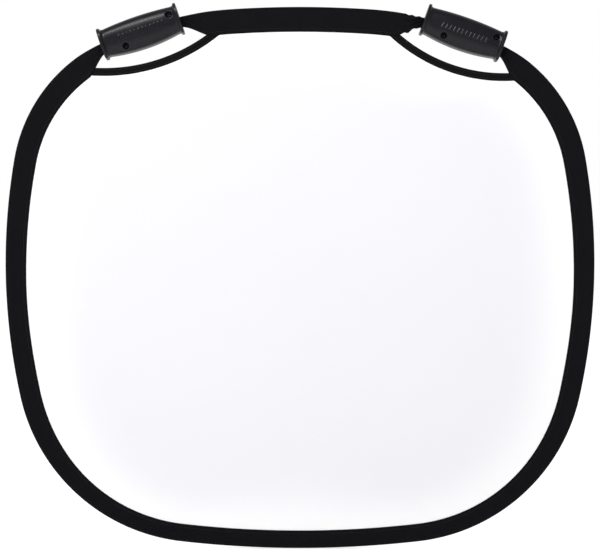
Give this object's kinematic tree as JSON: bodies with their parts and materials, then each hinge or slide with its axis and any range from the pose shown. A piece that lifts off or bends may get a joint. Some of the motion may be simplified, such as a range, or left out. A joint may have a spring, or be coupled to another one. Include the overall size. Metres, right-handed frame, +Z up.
{
  "type": "collapsible reflector disc",
  "caption": "Collapsible two-sided light reflector on a sprung steel hoop, with moulded grips and finger gaps at the top; it bends by the grips to shape the light.",
  "frame": {"origin": "centre of the bounding box: the middle of the disc, half way through its thickness", "axes": "+Z up towards the grips, +X to the right as the white side is seen, white side facing -Y and silver side facing +Y"},
  "size_m": [0.7996, 0.0374, 0.7395],
  "materials": {
    "white_fabric": "smooth white coated fabric, matt",
    "silver_fabric": "metallised silver fabric, finely creased",
    "sleeve_fabric": "black woven nylon, matt, stitched hem",
    "binding_tape": "black woven binding tape, stitched",
    "grip_plastic": "moulded black plastic, fine satin grain",
    "spring_steel": "blued spring steel strip",
    "ferrule_steel": "pressed steel",
    "screw_steel": "blackened steel"
  },
  "bodies": {
    "centre": {"hoop_band_crown": "spring_steel", "hoop_band_foot_left": "spring_steel", "hoop_band_foot_right": "spring_steel", "band_ferrule": "ferrule_steel", "ferrule_rivet_left": "ferrule_steel", "ferrule_rivet_right": "ferrule_steel", "rim_sleeve_crown": "sleeve_fabric", "rim_sleeve_foot": "sleeve_fabric", "white_panel_centre": "white_fabric", "silver_panel_centre": "silver_fabric"},
    "left_wing": {"hoop_band_left": "spring_steel", "rim_sleeve_left_side": "sleeve_fabric", "rim_sleeve_left_top": "sleeve_fabric", "white_panel_left": "white_fabric", "silver_panel_left": "silver_fabric", "finger_gap_binding_left": "binding_tape", "grip_left_front_shell": "grip_plastic", "grip_left_back_shell": "grip_plastic", "grip_left_screw_1": "screw_steel", "grip_left_screw_2": "screw_steel", "grip_left_screw_3": "screw_steel", "grip_left_screw_4": "screw_steel"},
    "right_wing": {"hoop_band_right": "spring_steel", "rim_sleeve_right_side": "sleeve_fabric", "rim_sleeve_right_top": "sleeve_fabric", "white_panel_right": "white_fabric", "silver_panel_right": "silver_fabric", "finger_gap_binding_right": "binding_tape", "grip_right_front_shell": "grip_plastic", "grip_right_back_shell": "grip_plastic", "grip_right_screw_1": "screw_steel", "grip_right_screw_2": "screw_steel", "grip_right_screw_3": "screw_steel", "grip_right_screw_4": "screw_steel"}
  },
  "joints": [
    {"name": "left_bend", "type": "hinge", "parent": "centre", "child": "left_wing", "pos_m": [-0.08, 0, 0], "axis": [0, 0, 1], "range_deg": [-85, 85], "stiffness_Nm_per_rad": 1.5},
    {"name": "right_bend", "type": "hinge", "parent": "centre", "child": "right_wing", "pos_m": [0.08, 0, 0], "axis": [0, 0, 1], "range_deg": [-85, 85], "stiffness_Nm_per_rad": 1.5}
  ],
  "couplings": [
    {"joint": "right_bend", "follows": "left_bend", "ratio": -1}
  ]
}
